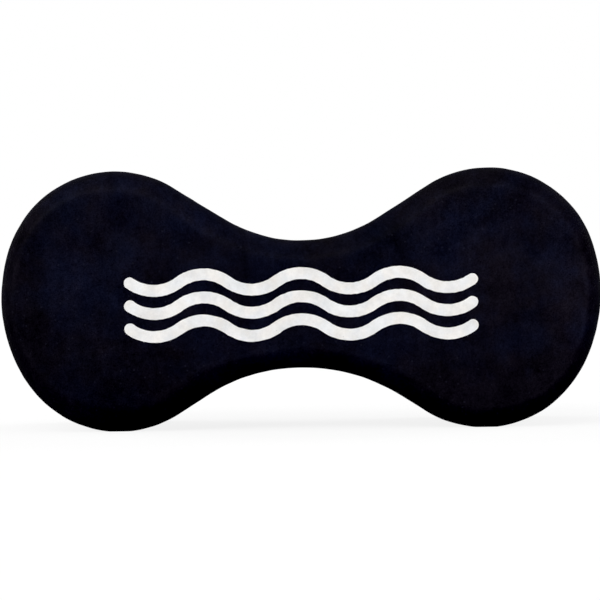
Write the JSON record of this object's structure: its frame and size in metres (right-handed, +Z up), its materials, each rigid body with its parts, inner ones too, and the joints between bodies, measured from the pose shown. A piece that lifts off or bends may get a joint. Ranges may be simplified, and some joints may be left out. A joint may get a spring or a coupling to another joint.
{
  "type": "pull buoy",
  "caption": "Figure-eight pull buoy of laminated closed-cell foam, with a groove above and below for the thighs and rounded end faces.",
  "frame": {"origin": "on the ground plane, under the middle of the block, which rests on its two lobes", "axes": "+X from lobe to lobe, +Y from the printed front face to the rear face (along the swimmer's legs), +Z up from the bottom groove to the top groove"},
  "size_m": [0.24, 0.1301, 0.104],
  "materials": {
    "foam": "matte closed-cell EVA foam, navy black",
    "glue": "satin dried contact cement",
    "ink": "satin white screen-print ink"
  },
  "bodies": {
    "root": {"front_slab": "foam", "front_glue_film": "glue", "front_core_slab": "foam", "front_core_glue_film": "glue", "middle_slab": "foam", "rear_core_glue_film": "glue", "rear_core_slab": "foam", "rear_glue_film": "glue", "rear_slab": "foam", "front_print": "ink"}
  },
  "joints": []
}
